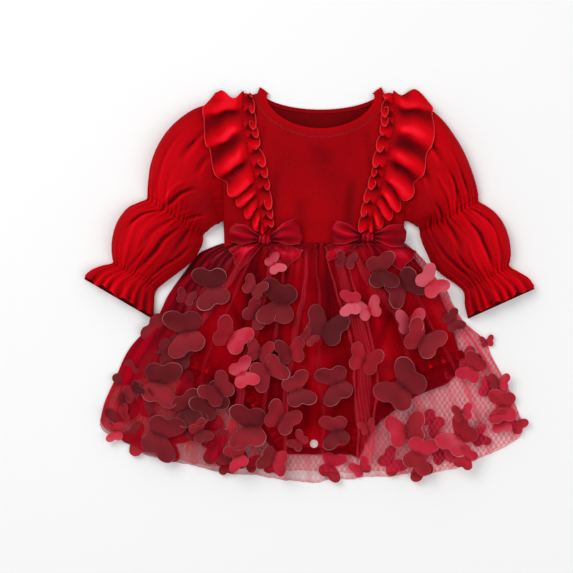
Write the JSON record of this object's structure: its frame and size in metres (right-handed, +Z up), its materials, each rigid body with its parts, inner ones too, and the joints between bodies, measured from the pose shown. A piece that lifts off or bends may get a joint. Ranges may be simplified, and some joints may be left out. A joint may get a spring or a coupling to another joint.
{
  "type": "toddler party dress",
  "caption": "Long-sleeved velvet romper dress for a toddler with shoulder ruffles, satin bows and a net overskirt with cloth butterflies, laid flat.",
  "frame": {"origin": "on the surface that it lies on, under the middle of its bounding box", "axes": "+X across the dress to the right as seen from above, +Y from hem to neck, +Z up out of the front"},
  "size_m": [0.541, 0.4762, 0.0417],
  "materials": {
    "velvet": "short-pile stretch velvet, soft sheen",
    "net": "fine see-through net",
    "satin": "shiny satin ribbon",
    "wing_cloth": "smooth woven cloth with pale cut edges",
    "snap": "smooth moulded plastic"
  },
  "bodies": {
    "root": {"bodice_front": "velvet", "bodice_back": "velvet", "neck_binding": "velvet", "sleeve_left": "velvet", "sleeve_right": "velvet", "romper_front": "velvet", "romper_back": "velvet", "leg_band_left": "velvet", "leg_band_right": "velvet", "ruffle_left": "velvet", "ruffle_right": "velvet", "skirt_back": "net", "skirt_front": "net", "bow_left_knot": "satin", "bow_left_tail_left": "satin", "bow_left_tail_right": "satin", "bow_left_loop_left": "satin", "bow_left_loop_right": "satin", "bow_right_knot": "satin", "bow_right_tail_left": "satin", "bow_right_tail_right": "satin", "bow_right_loop_left": "satin", "bow_right_loop_right": "satin", "snap": "snap", "butterfly_01": "wing_cloth", "butterfly_02": "wing_cloth", "butterfly_03": "wing_cloth", "butterfly_04": "wing_cloth", "butterfly_05": "wing_cloth", "butterfly_06": "wing_cloth", "butterfly_07": "wing_cloth", "butterfly_08": "wing_cloth", "butterfly_09": "wing_cloth", "butterfly_10": "wing_cloth", "butterfly_11": "wing_cloth", "butterfly_12": "wing_cloth", "butterfly_13": "wing_cloth", "butterfly_14": "wing_cloth", "butterfly_15": "wing_cloth", "butterfly_16": "wing_cloth", "butterfly_17": "wing_cloth", "butterfly_18": "wing_cloth", "butterfly_19": "wing_cloth", "butterfly_20": "wing_cloth", "butterfly_21": "wing_cloth", "butterfly_22": "wing_cloth", "butterfly_23": "wing_cloth", "butterfly_24": "wing_cloth", "butterfly_25": "wing_cloth", "butterfly_26": "wing_cloth", "butterfly_27": "wing_cloth", "butterfly_28": "wing_cloth"}
  },
  "joints": []
}
